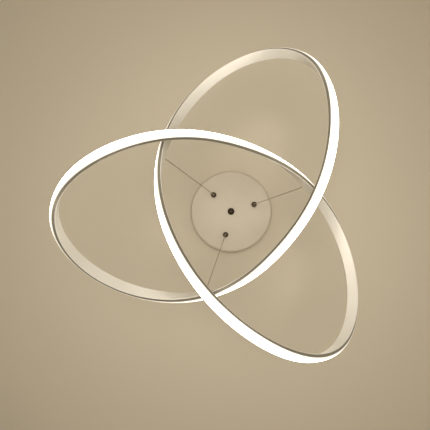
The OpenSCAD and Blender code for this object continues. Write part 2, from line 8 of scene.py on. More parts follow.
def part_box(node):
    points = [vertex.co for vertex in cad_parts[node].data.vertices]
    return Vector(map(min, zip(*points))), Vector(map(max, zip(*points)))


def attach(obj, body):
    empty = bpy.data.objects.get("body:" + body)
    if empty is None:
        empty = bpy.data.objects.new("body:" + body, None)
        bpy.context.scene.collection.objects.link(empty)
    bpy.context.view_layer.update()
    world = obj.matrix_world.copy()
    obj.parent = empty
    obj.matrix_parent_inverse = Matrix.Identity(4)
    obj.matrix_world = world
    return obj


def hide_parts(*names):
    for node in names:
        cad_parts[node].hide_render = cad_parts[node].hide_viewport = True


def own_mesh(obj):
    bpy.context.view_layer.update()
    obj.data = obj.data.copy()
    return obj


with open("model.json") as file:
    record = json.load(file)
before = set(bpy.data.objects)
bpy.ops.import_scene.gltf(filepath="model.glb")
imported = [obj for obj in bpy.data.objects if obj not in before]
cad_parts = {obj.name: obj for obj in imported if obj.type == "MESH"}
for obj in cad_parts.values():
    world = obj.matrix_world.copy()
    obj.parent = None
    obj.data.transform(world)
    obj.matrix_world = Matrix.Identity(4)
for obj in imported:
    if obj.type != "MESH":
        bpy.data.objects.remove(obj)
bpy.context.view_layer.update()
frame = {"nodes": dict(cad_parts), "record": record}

mm = 0.001
thirds = (1, 2, 3)       # the band's stretches, the grippers and the wires all come in threes
third = 120
scene = bpy.context.scene
scene.view_settings.view_transform = "Standard"


# small helpers

def deselectAll():
    if bpy.context.object and bpy.context.object.mode != "OBJECT":
        bpy.ops.object.mode_set(mode="OBJECT")
    bpy.ops.object.select_all(action="DESELECT")


def pick(piece):
    deselectAll()
    piece.select_set(True)
    bpy.context.view_layer.objects.active = piece


def applyPlace(piece):
    pick(piece)
    bpy.ops.object.transform_apply(location=True, rotation=True, scale=True)


def moveMesh(piece, place):
    piece.matrix_world = place @ piece.matrix_world
    applyPlace(piece)


def tidyMesh(piece, merge=0.004, smoothAngle=35):
    pick(piece)
    bpy.ops.object.mode_set(mode="EDIT")
    bpy.ops.mesh.select_all(action="SELECT")
    bpy.ops.mesh.remove_doubles(threshold=merge * mm)
    bpy.ops.mesh.normals_make_consistent(inside=False)
    bpy.ops.object.mode_set(mode="OBJECT")
    bpy.ops.object.shade_smooth_by_angle(angle=math.radians(smoothAngle))


def joinPieces(pieces, name):
    deselectAll()
    for piece in pieces:
        piece.select_set(True)
    bpy.context.view_layer.objects.active = pieces[0]
    bpy.ops.object.join()
    pieces[0].name = name
    return pieces[0]


def copyPiece(piece, name):
    pick(piece)
    bpy.ops.object.duplicate(linked=False)
    copied = bpy.context.object
    copied.name = name
    return copied


def finishPiece(piece, body, slot, material, *nodes):
    piece.data.materials.clear()
    piece.data.materials.append(material)
    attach(piece, body)
    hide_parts(*nodes)


# outlines, as lists of points in mm

def arc(centerX, centerY, radius, fromAngle, toAngle, steps):
    turns = [math.radians(fromAngle + (toAngle - fromAngle) * i / steps) for i in range(steps + 1)]
    return [(centerX + radius * math.cos(a), centerY + radius * math.sin(a)) for a in turns]


def thread(radius, start, pitch, depth, turns):
    # a screw thread's side from its lowest crest up, drawn as rings
    crests = [start + i * pitch for i in range(turns)]
    return [point for z in crests for point in ((radius, z), (radius - depth, z + pitch / 2))]


def turnedLine(radius, top, depth, bevel, width):
    # a decorative groove from its upper edge down
    return [(radius, top), (radius - depth, top - bevel),
            (radius - depth, top - width + bevel), (radius, top - width)]


# shapes from outlines

def sweep(name, outline, path, tilts, twistMode="MINIMUM"):
    # a closed outline in mm, drawn along a path of points in metres, with a tilt at each point
    sectionCurve = bpy.data.curves.new(name + "Section", "CURVE")
    sectionCurve.dimensions = "2D"
    edge = sectionCurve.splines.new("POLY")
    edge.points.add(len(outline) - 1)
    for point, (x, y) in zip(edge.points, outline):
        point.co = (x * mm, y * mm, 0, 1)
    edge.use_cyclic_u = True
    section = bpy.data.objects.new(name + "Section", sectionCurve)
    scene.collection.objects.link(section)
    curve = bpy.data.curves.new(name, "CURVE")
    curve.dimensions = "3D"
    curve.twist_mode = twistMode
    curve.bevel_mode = "OBJECT"
    curve.bevel_object = section
    curve.use_fill_caps = True
    spline = curve.splines.new("POLY")
    spline.points.add(len(path) - 1)
    for point, place, tilt in zip(spline.points, path, tilts):
        point.co = (*place, 1)
        point.tilt = tilt
    piece = bpy.data.objects.new(name, curve)
    scene.collection.objects.link(piece)
    pick(piece)
    bpy.ops.object.convert(target="MESH")
    bpy.data.objects.remove(section)
    return piece


def turn(name, outline, steps):
    # an outline of (radius, height) in mm is extruded from one point and spun about Z
    deselectAll()
    start = (outline[0][0] * mm, 0, outline[0][1] * mm)
    bpy.ops.mesh.primitive_plane_add(size=mm, location=start)
    piece = bpy.context.object
    piece.name = name
    applyPlace(piece)
    bpy.ops.object.mode_set(mode="EDIT")
    bpy.ops.mesh.select_all(action="SELECT")
    bpy.ops.mesh.merge(type="CENTER")
    for before, after in zip(outline, outline[1:]):
        step = ((after[0] - before[0]) * mm, 0, (after[1] - before[1]) * mm)
        bpy.ops.mesh.extrude_region_move(TRANSFORM_OT_translate={"value": step})
    bpy.ops.mesh.select_all(action="SELECT")
    bpy.ops.mesh.spin(steps=steps, angle=2 * math.pi, center=(0, 0, 0), axis=(0, 0, 1))
    bpy.ops.object.mode_set(mode="OBJECT")
    return piece


# materials

def hexColor(text):
    channels = [int(text[i:i + 2], 16) / 255 for i in (1, 3, 5)]
    linear = [c / 12.92 if c <= 0.04045 else ((c + 0.055) / 1.055) ** 2.4 for c in channels]
    return (*linear, 1)


def addNode(tree, kind, settings=None, links=None):
    node = tree.nodes.new(kind)
    for key, value in (settings or {}).items():
        if isinstance(key, str) and hasattr(node, key):
            setattr(node, key, value)
        else:
            node.inputs[key].default_value = value
    for key, socket in (links or {}).items():
        tree.links.new(socket, node.inputs[key])
    return node


def newMaterial(name, settings):
    material = bpy.data.materials.new(name)
    material.use_nodes = True
    shader = material.node_tree.nodes["Principled BSDF"]
    for key, value in settings.items():
        shader.inputs[key].default_value = value
    return material, material.node_tree, shader


def patternInMm(tree, size, detail=3.0, roughness=0.5, stretch=(1, 1, 1)):
    # soft lumps about size mm across
    place = addNode(tree, "ShaderNodeTexCoord")
    mapping = addNode(tree, "ShaderNodeMapping", {"Scale": stretch},
                      {"Vector": place.outputs["Object"]})
    noise = addNode(tree, "ShaderNodeTexNoise",
                    {"Scale": 1 / (size * mm), "Detail": detail, "Roughness": roughness},
                    {"Vector": mapping.outputs["Vector"]})
    return noise.outputs["Fac"]


def surface(name, settings, tone, sheen=None, relief=None):
    # tone is a pattern and the two colours that it drifts between, sheen a pattern and its
    # lowest and highest roughness, and relief a pattern, its depth in mm and its strength
    material, tree, shader = newMaterial(name, settings)
    pattern, dark, light = tone
    drift = addNode(tree, "ShaderNodeValToRGB", links={"Fac": patternInMm(tree, *pattern)})
    for stop, place, color in zip(drift.color_ramp.elements, (0.3, 0.7), (dark, light)):
        stop.position = place
        stop.color = hexColor(color)
    tree.links.new(drift.outputs["Color"], shader.inputs["Base Color"])
    if sheen:
        pattern, smooth, rough = sheen
        spread = addNode(tree, "ShaderNodeMapRange", {"To Min": smooth, "To Max": rough},
                         {"Value": patternInMm(tree, *pattern)})
        tree.links.new(spread.outputs["Result"], shader.inputs["Roughness"])
    if relief:
        pattern, depth, strength = relief
        bump = addNode(tree, "ShaderNodeBump", {"Strength": strength, "Distance": depth * mm},
                       {"Height": patternInMm(tree, *pattern)})
        tree.links.new(bump.outputs["Normal"], shader.inputs["Normal"])
    return material


def insides(material):
    # its nodes, its main shader and the socket that colours it
    tree = material.node_tree
    shader = tree.nodes["Principled BSDF"]
    return tree, shader, shader.inputs["Base Color"].links[0].from_socket


def roundFrom(tree, start):
    # how far round a swept piece's outline a point lies from start, as a part of the whole
    uv = addNode(tree, "ShaderNodeUVMap", {"uv_map": "UVMap"})
    split = addNode(tree, "ShaderNodeSeparateXYZ", links={"Vector": uv.outputs["UV"]})
    offset = addNode(tree, "ShaderNodeMath", {"operation": "SUBTRACT", 1: start},
                     {0: split.outputs["Y"]})
    aside = addNode(tree, "ShaderNodeMath", {"operation": "ABSOLUTE"}, {0: offset.outputs["Value"]})
    return aside.outputs["Value"]


def powderCoat(name, color, shade, roughness, grain=1.1, pearl=0.0):
    # powder-coated metal: an even satin film with a fine orange-peel ripple; pearl flakes in
    # the powder give it a share of a metal's sheen
    peel = (grain, 2, 0.4)
    return surface(name, {"IOR": 1.5, "Metallic": pearl}, ((60, 2), shade, color),
                   (peel, roughness - 0.05, roughness + 0.06), (peel, 0.01, 0.4))


def mouldedPlastic(name, color, shade, roughness=0.5, grain=0.7):
    # moulded or extruded plastic, evenly coloured, with a fine spark texture
    spark = (grain, 2)
    return surface(name, {"IOR": 1.46}, ((30, 2), shade, color),
                   (spark, roughness - 0.06, roughness + 0.08), (spark, 0.03, 0.5))


def circuitBoard():
    # glass-fibre board under green solder mask, with the copper runs faintly showing
    material, tree, shader = newMaterial("Green solder mask", {"IOR": 1.5, "Roughness": 0.3})
    place = addNode(tree, "ShaderNodeTexCoord")
    runs = addNode(tree, "ShaderNodeTexBrick",
                   {"Scale": 1 / (12 * mm), "Mortar Size": 0.04, "Color1": hexColor("#14502c"),
                    "Color2": hexColor("#1a5c34"), "Mortar": hexColor("#2c7a48")},
                   {"Vector": place.outputs["Object"]})
    tree.links.new(runs.outputs["Color"], shader.inputs["Base Color"])
    return material


def ledPhosphor():
    # the yellow silicone dome of an LED chip, lit from inside
    material = surface("LED phosphor", {"Roughness": 0.35, "Emission Strength": 1.0},
                       ((0.8, 2), "#f6d98c", "#ffedbc"))
    tree, shader, color = insides(material)
    tree.links.new(color, shader.inputs["Emission Color"])
    return material


# glow: strength of the lit face, where 1 is white; crownAt: the crown's place round the diffuser's
# outline, as a part of the whole; fallOff: the light at each distance from the crown
lamp = {"glow": 5.0, "crownAt": 0.3205,
        "fallOff": ((0.12, "#fffaf3"), (0.165, "#d0c9be"), (0.205, "#86807a"),
                    (0.245, "#47423b"), (0.29, "#201d19"))}


def opalDiffuser():
    # extruded opal acrylic, lit from behind: bright over the crown, dim down its two sides,
    # which the strip's light reaches only at a slant, and unlit inside the channel
    material = surface("Opal acrylic",
                       {"IOR": 1.49, "Roughness": 0.38, "Emission Strength": lamp["glow"]},
                       ((40, 2), "#f6f1e6", "#fbf8f0"))
    tree, shader, color = insides(material)
    ramp = addNode(tree, "ShaderNodeValToRGB", links={"Fac": roundFrom(tree, lamp["crownAt"])})
    stops = ramp.color_ramp.elements
    stops.remove(stops[1])
    stops[0].position = lamp["fallOff"][0][0]
    stops[0].color = hexColor(lamp["fallOff"][0][1])
    for place, light in lamp["fallOff"][1:]:
        stops.new(place).color = hexColor(light)
    tree.links.new(ramp.outputs["Color"], shader.inputs["Emission Color"])
    return material


bandCoat = ("#e0dacd", "#dbd4c6", 0.48, 0.9, 0.28)      # the band's powder coat, as in powderCoat
lathe = (0.5, 2, 0.5, (1, 1, 6))                        # fine rings that turning leaves
cloud = (5, 4, 0.6)
rolled = (0.8, 2, 0.5, (0.15, 1, 1))                    # fine lines along rolled sheet
film = (1.5, 3)
strands = (4, 3)
tarnish = (2, 4, 0.6)
dust = (2, 4)
materials = {
    "canopy_paint": powderCoat("Powder-coated steel, sand", "#b4a994", "#afa48f", 0.58),
    "band_paint": powderCoat("Powder-coated aluminium, cream", *bandCoat),
    "opal_diffuser": opalDiffuser(),
    # chemically darkened bronze: near black, brown where handled, with soft metal highlights
    "dark_bronze": surface("Darkened bronze", {"Metallic": 0.85},
                           ((3.5, 5, 0.6), "#282219", "#463a28"),
                           (lathe, 0.4, 0.54), (lathe, 0.02, 0.4)),
    # zinc-plated steel: pale grey metal with a cloudy passivated film
    "zinc_steel": surface("Zinc-plated steel", {"Metallic": 1.0}, (cloud, "#b3b4b3", "#c9c9c5"),
                          (cloud, 0.3, 0.46), (rolled, 0.02, 0.4)),
    # polished spring wire and bearing balls: bright metal under a trace of oil
    "spring_steel": surface("Spring steel", {"Metallic": 1.0}, (film, "#9b9a98", "#bdbcb8"),
                            (film, 0.16, 0.28)),
    # laid steel strands under a thin clear jacket that has gone grey-brown
    "wire_jacket": surface("Jacketed steel wire", {"Metallic": 0.35, "IOR": 1.5},
                           (strands, "#7f7463", "#a3967f"), (strands, 0.3, 0.45)),
    # moulded black rubber, matt and slightly dusty
    "rubber_seal": surface("Black rubber", {"Roughness": 0.75}, (dust, "#1b1a19", "#2e2c2a"),
                           relief=(dust, 0.05, 0.4)),
    "driver_plastic": mouldedPlastic("White polycarbonate", "#ece9e2", "#e4e1d9"),
    "circuit_board": circuitBoard(),
    "terminal_plastic": mouldedPlastic("Natural polyamide", "#ebe6d8", "#e1dbca", 0.42),
    # turned brass: yellow metal, a little tarnished in the hollows
    "brass_screw": surface("Turned brass", {"Metallic": 1.0}, (tarnish, "#8f6f35", "#cdaa5e"),
                           (tarnish, 0.22, 0.4)),
    "grey_lead": mouldedPlastic("Grey PVC sheath", "#9c9b98", "#92918e", 0.5, 1.5),
    "earth_jacket": mouldedPlastic("Green-yellow PVC", "#9db52e", "#8fae2a", 0.45, 1.5),
    "red_jacket": mouldedPlastic("Red PVC", "#a52a20", "#9a251c", 0.45, 1.5),
    "black_jacket": mouldedPlastic("Black PVC", "#262524", "#201f1e", 0.45, 1.5),
    # white solder mask on a flexible circuit, faintly uneven
    "strip_white": surface("Flexible circuit", {"Roughness": 0.4}, ((8, 3), "#e9e7df", "#f6f4ee")),
    "led_phosphor": ledPhosphor(),
}
for part in frame["record"]["subparts"]:
    node = frame["nodes"][part["node"]]
    node.data.materials.clear()
    node.data.materials.append(materials[part["material_slot"]])
print("materials done")


# the band's curve, in mm and degrees; t goes once round the band in 360 degrees

knot = {
    "meanRadius": 212, "lobeDepth": 98, "lobeTipAt": 7, "lobeBlunt": 6.5, "lobeBluntAt": 20,
    "lobeReach": (-4.5, 0.5, 4.5),          # mm further out at each of the three lobe tips
    "turn": 164, "lobeLean": 17.5, "lobeLeanAt": 23, "rise": 33, "riseAt": 27.5,
    "faceTilt": 7.5, "faceSwing": 63, "faceSwingAt": 124, "faceRipple": 18, "faceRippleAt": 97,
    "strandTilt": (3, -17, 12),             # degrees further on each of the three inner strands
    "blend": 16,                            # how sharply lobeReach and strandTilt change over
    "drop": 354, "hangLean": 13.5, "lowSide": 148, "hangOff": (2.5, 1),
    "anchorAt": (83, 81.5, 84), "spliceAt": 88, "buttGap": 0.3, "stepsPerStretch": 216,
}
lowSide = math.radians(knot["lowSide"])
leanAxis = Vector((-math.sin(lowSide), math.cos(lowSide), 0))
hang = (Matrix.Translation(Vector((*knot["hangOff"], -knot["drop"])) * mm)
        @ Matrix.Rotation(math.radians(knot["hangLean"]), 4, leanAxis))


def wave(t, times, peakAt=0.0):
    return math.cos(math.radians(times * t - peakAt))


def blended(values, t, start):
    # one value for each lobe or strand, blended smoothly along the band
    return sum(value * wave(t - start - third * j, 0.5) ** knot["blend"]
               for j, value in enumerate(values))


def bandPoint(t):
    radius = (knot["meanRadius"] + knot["lobeDepth"] * wave(t, 3, knot["lobeTipAt"])
              + knot["lobeBlunt"] * wave(t, 6, knot["lobeBluntAt"])
              + blended(knot["lobeReach"], t, 0))
    lean = knot["lobeLean"] * wave(t, 3, knot["lobeLeanAt"] + 90)
    angle = math.radians(knot["turn"] + 2 * t - lean)
    height = -knot["rise"] * wave(t, 3, 90 - knot["riseAt"])
    return Vector((radius * math.cos(angle), radius * math.sin(angle), height)) * mm


def faceAngle(t):
    return math.radians(knot["faceTilt"] + knot["faceSwing"] * wave(t, 3, knot["faceSwingAt"])
                        + knot["faceRipple"] * wave(t, 6, knot["faceRippleAt"])
                        + blended(knot["strandTilt"], t, third / 2))


def acrossBand(t, out):
    # X looks out of the lit face, Y runs along the band and Z across it to its upper edge
    along = (bandPoint(t + 0.2) - bandPoint(t - 0.2)).normalized()
    levelOut = along.cross(Vector((0, 0, 1))).normalized()
    levelDown = along.cross(levelOut)
    a = faceAngle(t)
    faceOut = math.cos(a) * levelOut + math.sin(a) * levelDown
    faceUp = math.sin(a) * levelOut - math.cos(a) * levelDown
    turned = Matrix((faceOut, along, faceUp)).transposed().to_4x4()
    return hang @ Matrix.Translation(bandPoint(t) + out * mm * faceOut) @ turned


def endTrim(t):
    # half the gap at a butt joint, in degrees along the band
    mmPerDegree = (bandPoint(t + 0.5) - bandPoint(t - 0.5)).length / mm
    return knot["buttGap"] / 2 / mmPerDegree


def bandStretch(name, outline, k):
    start = knot["spliceAt"] + third * (k - 1)
    low, high = start + endTrim(start), start + third - endTrim(start + third)
    steps = knot["stepsPerStretch"]
    places = [low + (high - low) * i / steps for i in range(steps + 1)]
    path = [bandPoint(t) for t in places]
    piece = sweep(name, outline, path, [faceAngle(t) for t in places], "Z_UP")
    moveMesh(piece, hang)
    return piece


# the aluminium channel: a shallow tray, open on the lit side

# painted shade: the wall colour is a dark grey-brown standing for the shade on the side walls and
# pocket; the share reaches from mid-outline to the back's corners
channel = {"width": 20, "depth": 6.5, "floor": 1.4, "edge": 1.5, "backRadius": 0.9,
           "rimRadius": 0.3,
           "paintedWallShade": "#7c7666", "paintedShadeShare": 0.34}   # from mid-outline to the back's corners


def channelPaintedShade():
    # the extrusion's back has the band's coat; its side walls and pocket are painted shade, a dark
    # grey-brown that stands for the shade they lie in
    material = powderCoat("Cream back, sides in painted shade", *bandCoat)
    tree, shader, paint = insides(material)
    inPaintedShade = addNode(tree, "ShaderNodeMath", {"operation": "LESS_THAN", 1: channel["paintedShadeShare"]},
                     {0: roundFrom(tree, 0.5)})
    # sockets 6, 7 and output 2 are the mix node's colours
    finish = addNode(tree, "ShaderNodeMix",
                     {"data_type": "RGBA", 7: hexColor(channel["paintedWallShade"])},
                     {0: inPaintedShade.outputs["Value"], 6: paint})
    tree.links.new(finish.outputs[2], shader.inputs["Base Color"])
    return material


halfWidth = channel["width"] / 2
pocket = halfWidth - channel["edge"]
back = channel["backRadius"]
rim = channel["rimRadius"]
channelHalf = (arc(back, -halfWidth + back, back, 180, 270, 5)
               + arc(channel["depth"] - rim, -halfWidth + rim, rim, 270, 360, 3)
               + arc(channel["depth"] - rim, -pocket - rim, rim, 0, 90, 3)
               + [(channel["floor"], -pocket), (channel["floor"], -pocket / 2)])
channelOutline = channelHalf + [(x, -y) for x, y in reversed(channelHalf)]
creamWithPaintedShade = channelPaintedShade()
for k in thirds:
    piece = bandStretch(f"bandChannel{k}", channelOutline, k)
    tidyMesh(piece)
    finishPiece(piece, "knot", "band_paint", creamWithPaintedShade, f"channel_{k}")
print("channel done")


# the diffuser: a hollow opal dome with two feet that stand in the channel

dome = {"base": 6.62, "height": 6, "wall": 1.6, "squareness": 2.2, "footGap": 1.65,
        "footEnd": 1.7, "footRise": 0.5, "lipChamfer": 0.25, "steps": 22, "innerFrom": 78}


def domeHalf(width, base, height, steps, fromAngle=90):
    power = 2 / dome["squareness"]
    angles = [math.radians(fromAngle * (1 - i / steps)) for i in range(steps + 1)]
    return [(base + math.cos(a) ** power * height, -math.sin(a) ** power * width) for a in angles]


footOut = pocket - dome["footGap"]
footIn = footOut - dome["wall"]
chamfer = dome["lipChamfer"]
outerHalf = ([(dome["footEnd"], -footOut), (dome["base"], -footOut),
              (dome["base"], -halfWidth + chamfer)]
             + domeHalf(halfWidth, dome["base"] + chamfer, dome["height"] - chamfer, dome["steps"]))
innerHalf = ([(dome["footEnd"], -footIn), (dome["base"] + dome["footRise"], -footIn)]
             + domeHalf(halfWidth - dome["wall"], dome["base"], dome["height"] - dome["wall"],
                        dome["steps"] // 2, dome["innerFrom"]))
outerRun = outerHalf + [(x, -y) for x, y in reversed(outerHalf[:-1])]
innerRun = innerHalf + [(x, -y) for x, y in reversed(innerHalf[:-1])]
for k in thirds:
    piece = bandStretch(f"bandDiffuser{k}", outerRun + innerRun[::-1], k)
    tidyMesh(piece)
    finishPiece(piece, "knot", "opal_diffuser", materials["opal_diffuser"], f"diffuser_{k}")
print("diffuser done")


# the canopy: a spun steel cover, its edge rolled round, with two welded studs inside

canopy = {"diameter": 200, "height": 32, "wall": 1.2, "round": 6, "rimRound": 0.4,
          "holeDiameter": 6.2, "gripperRadius": 58.7, "gripperTurn": -16.6, "gripperHole": 9.4,
          "drillDepth": 6}
stud = {"diameter": 3, "height": 6, "sink": 0.3, "threadFrom": 1.5, "pitch": 0.5,
        "threadDepth": 0.2, "turns": 9, "tip": 0.4, "fromCaseEnd": 4}


def gripperPlace(k):
    a = math.radians(canopy["gripperTurn"] - third * (k - 1))
    return Vector((canopy["gripperRadius"] * math.cos(a), canopy["gripperRadius"] * math.sin(a),
                   -canopy["height"])) * mm


outerR = canopy["diameter"] / 2
innerR = outerR - canopy["wall"]
edgeR = outerR - canopy["round"]
holeR = canopy["holeDiameter"] / 2
rimRound = canopy["rimRound"]
coverLow = -canopy["height"]
coverFloor = coverLow + canopy["wall"]
coverOutline = ([(holeR, coverLow), (edgeR / 2, coverLow)]
                + arc(edgeR, coverLow + canopy["round"], canopy["round"], 270, 360, 12)
                + arc(outerR - rimRound, -rimRound, rimRound, 0, 90, 3)
                + arc(innerR + rimRound, -rimRound, rimRound, 90, 180, 3)
                + arc(edgeR, coverLow + canopy["round"], canopy["round"] - canopy["wall"],
                      0, -90, 10)
                + [(edgeR / 2, coverFloor), (holeR, coverFloor), (holeR, coverLow)])
cover = turn("canopyCover", coverOutline, 180)
tidyMesh(cover)
drills = []
for k in thirds:
    deselectAll()
    bpy.ops.mesh.primitive_cylinder_add(vertices=48, radius=canopy["gripperHole"] / 2 * mm,
                                        depth=canopy["drillDepth"] * mm, location=gripperPlace(k))
    drills.append(bpy.context.object)
drill = joinPieces(drills, "gripperHoles")
cut = cover.modifiers.new("gripperHoles", "BOOLEAN")
cut.object = drill
cut.solver = "EXACT"
pick(cover)
bpy.ops.object.modifier_apply(modifier=cut.name)
bpy.data.objects.remove(drill)

studR = stud["diameter"] / 2
studOutline = ([(0, -stud["sink"]), (studR, -stud["sink"]),
                (studR, stud["threadFrom"] - stud["threadDepth"])]
               + thread(studR, stud["threadFrom"], stud["pitch"], stud["threadDepth"],
                        stud["turns"])
               + [(studR - stud["tip"], stud["height"]), (0, stud["height"])])
studModel = turn("studModel", studOutline, 24)
caseLow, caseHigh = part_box("driver_case")
caseMiddle = (caseLow.y + caseHigh.y) / 2
studs = []
for x in (caseLow.x + stud["fromCaseEnd"] * mm, caseHigh.x - stud["fromCaseEnd"] * mm):
    piece = copyPiece(studModel, "coverStud")
    moveMesh(piece, Matrix.Translation((x, caseMiddle, coverFloor * mm)))
    studs.append(piece)
bpy.data.objects.remove(studModel)
cover = joinPieces([cover] + studs, "canopyCover")
tidyMesh(cover, 0.002)
finishPiece(cover, "canopy", "canopy_paint", materials["canopy_paint"], "canopy_cover")
print("canopy done")


# the cap nut under the canopy: a low dome over a short skirt with a turned line

cap = {"diameter": 16.5, "skirt": 4, "height": 10, "boreRadius": 3.1, "boreDepth": 6, "edge": 0.4,
       "lineAt": 2.9, "line": (0.3, 0.2, 0.7)}          # depth, bevel and width
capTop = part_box("cap_nut")[1].z / mm
capR = cap["diameter"] / 2
boreEnd = capTop - cap["boreDepth"]
domeRise = cap["height"] - cap["skirt"]
domeR = (capR ** 2 + domeRise ** 2) / (2 * domeRise)
domeZ = capTop - cap["height"] + domeR
domeStart = -math.degrees(math.acos(capR / domeR))
capOutline = ([(cap["boreRadius"], capTop)]
              + arc(capR - cap["edge"], capTop - cap["edge"], cap["edge"], 90, 0, 3)
              + turnedLine(capR, capTop - cap["lineAt"], *cap["line"])
              + arc(0, domeZ, domeR, domeStart, -90, 16)
              + [(0, boreEnd), (cap["boreRadius"], boreEnd), (cap["boreRadius"], capTop)])
capNut = turn("capNut", capOutline, 72)
tidyMesh(capNut)
finishPiece(capNut, "canopy", "dark_bronze", materials["dark_bronze"], "cap_nut")
print("cap nut done")


# the wire grippers: local z = 0 is the cover's lower face

gripper = {"diameter": 12.6, "height": 16, "round": 2.5, "topRound": 0.4, "mouthChamfer": 0.3,
           "lineAt": -3, "line": (0.35, 0.25, 1),       # depth, bevel and width
           "shank": 9.2, "shankTop": 10, "shankChamfer": 0.5,
           "threadFrom": 1.6, "pitch": 1.0, "threadDepth": 0.45, "threadTurns": 8,
           "wireBore": 2, "cavity": 6.52, "sleeveBore": 5.32, "neckBore": 4.22,
           "cavityTop": -2, "coneTop": -7, "coneLow": -10, "lipTop": -14.5}
sleeve = {"shoulder": 5.2, "neck": 4.1, "bore": 2, "low": -20, "top": -9.3, "chamfer": 0.8,
          "gap": 0.06, "lineUp": 1.9, "line": (0.2, 0.2, 0.7)}

bodyR = gripper["diameter"] / 2
shankR = gripper["shank"] / 2
topRound = gripper["topRound"]
wireHole, cavityR, sleeveHole, neckHole = [
    gripper[bore] / 2 for bore in ("wireBore", "cavity", "sleeveBore", "neckBore")]
gripperOutline = (
    [(bodyR - topRound, 0)] + arc(bodyR - topRound, -topRound, topRound, 90, 0, 3)
    + turnedLine(bodyR, gripper["lineAt"], *gripper["line"])
    + arc(bodyR - gripper["round"], -gripper["height"] + gripper["round"], gripper["round"],
          0, -90, 8)
    + [(neckHole + gripper["mouthChamfer"], -gripper["height"]),
       (neckHole, -gripper["height"] + gripper["mouthChamfer"]),
       (neckHole, gripper["lipTop"]), (sleeveHole, gripper["lipTop"]),
       (sleeveHole, gripper["coneLow"]), (cavityR, gripper["coneTop"]),
       (cavityR, gripper["cavityTop"]), (wireHole, gripper["cavityTop"]),
       (wireHole, gripper["shankTop"]), (shankR - gripper["shankChamfer"], gripper["shankTop"])]
    + thread(shankR, gripper["threadFrom"], gripper["pitch"], gripper["threadDepth"],
             gripper["threadTurns"])[::-1]
    + [(shankR, gripper["threadFrom"] - gripper["pitch"]), (shankR, 0), (bodyR - topRound, 0)])
gripperModel = turn("gripperModel", gripperOutline, 64)
tidyMesh(gripperModel)

neckR = sleeve["neck"] / 2
shoulderR = sleeve["shoulder"] / 2
boreR = sleeve["bore"] / 2
shoulderTop = gripper["coneLow"] - sleeve["gap"]
shoulderLow = gripper["lipTop"] + sleeve["gap"]
sleeveOutline = ([(boreR, sleeve["top"]), (neckR, sleeve["top"]), (neckR, shoulderTop),
                  (shoulderR, shoulderTop), (shoulderR, shoulderLow), (neckR, shoulderLow)]
                 + turnedLine(neckR, sleeve["low"] + sleeve["lineUp"], *sleeve["line"])
                 + arc(neckR - sleeve["chamfer"], sleeve["low"] + sleeve["chamfer"],
                       sleeve["chamfer"], 0, -90, 5)
                 + [(boreR, sleeve["low"]), (boreR, sleeve["top"])])
sleeveModel = turn("sleeveModel", sleeveOutline, 48)
tidyMesh(sleeveModel)

for k in thirds:
    place = Matrix.Translation(gripperPlace(k))
    for model, name, body, node in (
            (gripperModel, "gripperBody", "canopy", "gripper_body"),
            (sleeveModel, "releaseSleeve", f"sleeve_{k}", "release_sleeve")):
        piece = copyPiece(model, f"{name}{k}")
        moveMesh(piece, place)
        finishPiece(piece, body, "dark_bronze", materials["dark_bronze"], f"{node}_{k}")
bpy.data.objects.remove(gripperModel)
bpy.data.objects.remove(sleeveModel)
print("grippers done")


# the grippers' springs: coils drawn at their free length; in use they shorten when a sleeve lifts
# the clamping balls

spring = {"wire": 0.5, "coilRadius": 1.85, "turns": 4, "stepsPerTurn": 24, "press": 2}
springOutline = arc(0, 0, spring["wire"] / 2, 0, 330, 11)
coilSteps = spring["turns"] * spring["stepsPerTurn"]
for k in thirds:
    lowEnd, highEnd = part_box(f"gripper_spring_{k}")
    middle = gripperPlace(k)
    free = (highEnd.z - lowEnd.z) / mm
    path = []
    for i in range(coilSteps + 1):
        a = 2 * math.pi * i / spring["stepsPerTurn"]
        rise = spring["wire"] / 2 + (free - spring["wire"]) * i / coilSteps
        path.append(Vector((middle.x, middle.y, lowEnd.z)) + mm * Vector(
            (spring["coilRadius"] * math.cos(a), spring["coilRadius"] * math.sin(a), rise)))
    piece = sweep(f"gripperSpring{k}", springOutline, path, [0] * len(path))
    tidyMesh(piece, 0.002)
    finishPiece(piece, "canopy", "spring_steel", materials["spring_steel"], f"gripper_spring_{k}")
    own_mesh(piece)
print("springs done")


# wire terminals: a headed pin through the band's upper edge, with a collar, neck and ball

terminal = {"out": 3.95, "headR": 1.15, "headLow": 7.45, "headChamfer": 0.2, "shankR": 0.8,
            "collarR": 2.0, "collarH": 1.6, "collarLowRound": 0.3, "collarTopRound": 0.5,
            "neck": 1.2, "neckR": 0.8, "neckFlare": 0.25, "flareLow": 0.02, "flareTop": 0.4,
            "ballR": 1.8, "ballSink": 0.3, "gap": 0.25}

headR = terminal["headR"]
headLow = terminal["headLow"]
headTop = pocket - terminal["gap"]
collarR = terminal["collarR"]
collarLow = halfWidth + terminal["gap"]
collarTop = collarLow + terminal["collarH"]
lowRound = terminal["collarLowRound"]
highRound = terminal["collarTopRound"]
ballAt = collarTop + terminal["neck"] + terminal["ballR"] - terminal["ballSink"]
ballStart = -math.degrees(math.acos(terminal["neckR"] / terminal["ballR"]))
terminalOutline = ([(0, headLow), (headR - terminal["headChamfer"], headLow),
                    (headR, headLow + terminal["headChamfer"]), (headR, headTop),
                    (terminal["shankR"], headTop), (terminal["shankR"], collarLow),
                    (collarR - lowRound, collarLow)]
                   + arc(collarR - lowRound, collarLow + lowRound, lowRound, -90, 0, 3)
                   + arc(collarR - highRound, collarTop - highRound, highRound, 0, 90, 4)
                   + [(terminal["neckR"] + terminal["neckFlare"], collarTop + terminal["flareLow"]),
                      (terminal["neckR"], collarTop + terminal["flareTop"])]
                   + arc(0, ballAt, terminal["ballR"], ballStart, 90, 14))
terminalModel = turn("terminalModel", terminalOutline, 32)
tidyMesh(terminalModel)


def anchorPlace(k):
    return acrossBand(knot["anchorAt"][k - 1] + third * (k - 1), terminal["out"])


